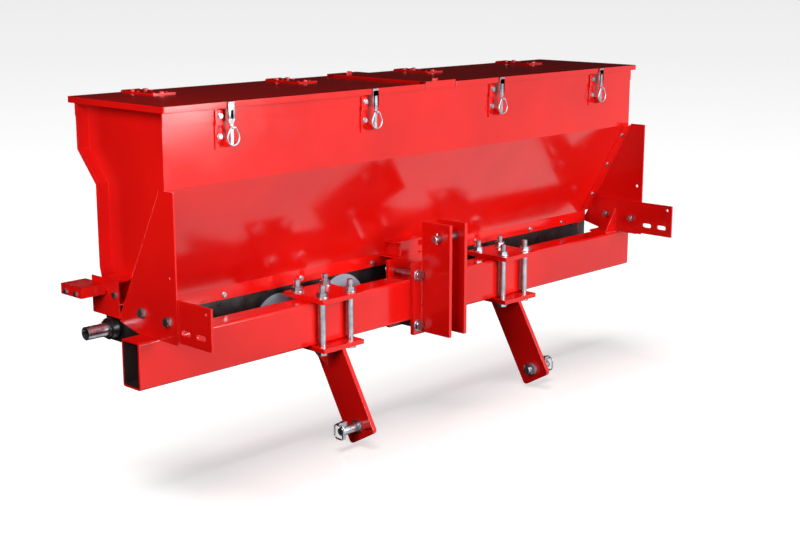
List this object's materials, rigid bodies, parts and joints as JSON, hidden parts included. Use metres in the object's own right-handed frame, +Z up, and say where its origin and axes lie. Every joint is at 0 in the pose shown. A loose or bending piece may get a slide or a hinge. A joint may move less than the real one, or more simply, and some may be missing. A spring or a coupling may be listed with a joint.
{
  "type": "hitch mounted drop spreader",
  "caption": "Toolbar-mounted drop spreader with a lidded hopper, feed rotor, rate gate and three-point hitch arms.",
  "frame": {"origin": "midpoint between the two lower hitch pins, on their common axis", "axes": "+X along the toolbar, -Y towards the tractor, +Z up"},
  "size_m": [1.806, 0.5055, 0.849],
  "materials": {
    "red_powder_coat": "glossy powder coat",
    "zinc_plate": "bright zinc plate",
    "black_nylon": "moulded nylon, semi matte",
    "grey_plastic": "moulded, satin",
    "stainless": "rolled sheet"
  },
  "bodies": {
    "frame": {"bearing_left": "black_nylon", "bearing_right": "black_nylon", "bracket_bolts": "zinc_plate", "centre_cover": "red_powder_coat", "centre_tie": "red_powder_coat", "clamp_bolts": "zinc_plate", "clamp_plate_left": "red_powder_coat", "clamp_plate_right": "red_powder_coat", "drive_plate": "red_powder_coat", "end_bracket_left": "red_powder_coat", "end_bracket_right": "red_powder_coat", "end_panel_left": "red_powder_coat", "end_panel_right": "red_powder_coat", "flow_guard_inner": "grey_plastic", "flow_guard_outer": "grey_plastic", "front_wall": "red_powder_coat", "gate_rails": "stainless", "gauge_bolts": "zinc_plate", "gauge_bracket": "red_powder_coat", "gusset_left": "red_powder_coat", "gusset_right": "red_powder_coat", "hinge_butts": "red_powder_coat", "hitch_arm_left": "red_powder_coat", "hitch_arm_right": "red_powder_coat", "hopper_support": "red_powder_coat", "latch_brackets": "red_powder_coat", "lower_pin_left": "zinc_plate", "lower_pin_nuts": "zinc_plate", "lower_pin_right": "zinc_plate", "mast": "red_powder_coat", "mast_bolts": "zinc_plate", "metering_bottom": "black_nylon", "nuts_m16": "zinc_plate", "panel_bolts": "zinc_plate", "rear_clamp_plate": "red_powder_coat", "rear_wall": "red_powder_coat", "rim_band": "red_powder_coat", "toolbar": "red_powder_coat", "top_link_pin": "zinc_plate"},
    "left_lid": {"left_lid": "red_powder_coat", "hinge_leaves_left": "red_powder_coat"},
    "right_lid": {"right_lid": "red_powder_coat", "hinge_leaves_right": "red_powder_coat"},
    "rotor": {"rotor_shaft": "zinc_plate", "feed_rotor": "black_nylon", "drive_collar": "black_nylon"},
    "gate": {"slide_gate": "stainless"},
    "lever": {"rate_lever": "red_powder_coat"},
    "strap_1": {"latch_strap_1": "zinc_plate"},
    "ring_1": {"latch_ring_1": "zinc_plate"},
    "strap_2": {"latch_strap_2": "zinc_plate"},
    "ring_2": {"latch_ring_2": "zinc_plate"},
    "strap_3": {"latch_strap_3": "zinc_plate"},
    "ring_3": {"latch_ring_3": "zinc_plate"},
    "strap_4": {"latch_strap_4": "zinc_plate"},
    "ring_4": {"latch_ring_4": "zinc_plate"},
    "linch_pin_left": {"linch_pin_left": "zinc_plate"},
    "linch_ring_left": {"linch_ring_left": "zinc_plate"},
    "linch_pin_right": {"linch_pin_right": "zinc_plate"},
    "linch_ring_right": {"linch_ring_right": "zinc_plate"}
  },
  "joints": [
    {"name": "left_lid_hinge", "type": "hinge", "parent": "frame", "child": "left_lid", "pos_m": [-0.446, 0.403, 0.7895], "axis": [-1, 0, 0], "range_deg": [0, 105]},
    {"name": "right_lid_hinge", "type": "hinge", "parent": "frame", "child": "right_lid", "pos_m": [0.446, 0.403, 0.7895], "axis": [-1, 0, 0], "range_deg": [0, 105]},
    {"name": "latch_strap_1_swing", "type": "hinge", "parent": "frame", "child": "strap_1", "pos_m": [-0.662, 0.045, 0.701], "axis": [1, 0, 0], "range_deg": [0, 95]},
    {"name": "latch_ring_1_pull", "type": "hinge", "parent": "strap_1", "child": "ring_1", "pos_m": [-0.662, 0.0368, 0.737], "axis": [-1, 0, 0], "range_deg": [0, 150]},
    {"name": "latch_strap_2_swing", "type": "hinge", "parent": "frame", "child": "strap_2", "pos_m": [-0.23, 0.045, 0.701], "axis": [1, 0, 0], "range_deg": [0, 95]},
    {"name": "latch_ring_2_pull", "type": "hinge", "parent": "strap_2", "child": "ring_2", "pos_m": [-0.23, 0.0368, 0.737], "axis": [-1, 0, 0], "range_deg": [0, 150]},
    {"name": "latch_strap_3_swing", "type": "hinge", "parent": "frame", "child": "strap_3", "pos_m": [0.23, 0.045, 0.701], "axis": [1, 0, 0], "range_deg": [0, 95]},
    {"name": "latch_ring_3_pull", "type": "hinge", "parent": "strap_3", "child": "ring_3", "pos_m": [0.23, 0.0368, 0.737], "axis": [-1, 0, 0], "range_deg": [0, 150]},
    {"name": "latch_strap_4_swing", "type": "hinge", "parent": "frame", "child": "strap_4", "pos_m": [0.662, 0.045, 0.701], "axis": [1, 0, 0], "range_deg": [0, 95]},
    {"name": "latch_ring_4_pull", "type": "hinge", "parent": "strap_4", "child": "ring_4", "pos_m": [0.662, 0.0368, 0.737], "axis": [-1, 0, 0], "range_deg": [0, 150]},
    {"name": "rotor_spin", "type": "hinge", "parent": "frame", "child": "rotor", "pos_m": [0, 0.248, 0.294], "axis": [1, 0, 0], "continuous": true},
    {"name": "gate_slide", "type": "slide", "parent": "frame", "child": "gate", "axis": [1, 0, 0], "range_m": [-0.0154, 0.0154]},
    {"name": "rate_lever_swing", "type": "hinge", "parent": "frame", "child": "lever", "pos_m": [-0.755, 0.32, 0.33], "axis": [0, 1, 0], "range_deg": [-12, 12]},
    {"name": "linch_pin_left_pull", "type": "slide", "parent": "frame", "child": "linch_pin_left", "axis": [0, 0, 1], "range_m": [0, 0.06]},
    {"name": "linch_ring_left_flip", "type": "hinge", "parent": "linch_pin_left", "child": "linch_ring_left", "pos_m": [-0.3975, 0, 0.018], "axis": [0, 1, 0], "range_deg": [0, 150]},
    {"name": "linch_pin_right_pull", "type": "slide", "parent": "frame", "child": "linch_pin_right", "axis": [0, 0, 1], "range_m": [0, 0.06]},
    {"name": "linch_ring_right_flip", "type": "hinge", "parent": "linch_pin_right", "child": "linch_ring_right", "pos_m": [0.3975, 0, 0.018], "axis": [0, -1, 0], "range_deg": [0, 150]}
  ],
  "couplings": [
    {"joint": "gate_slide", "follows": "rate_lever_swing", "m_per_rad": -0.073}
  ]
}
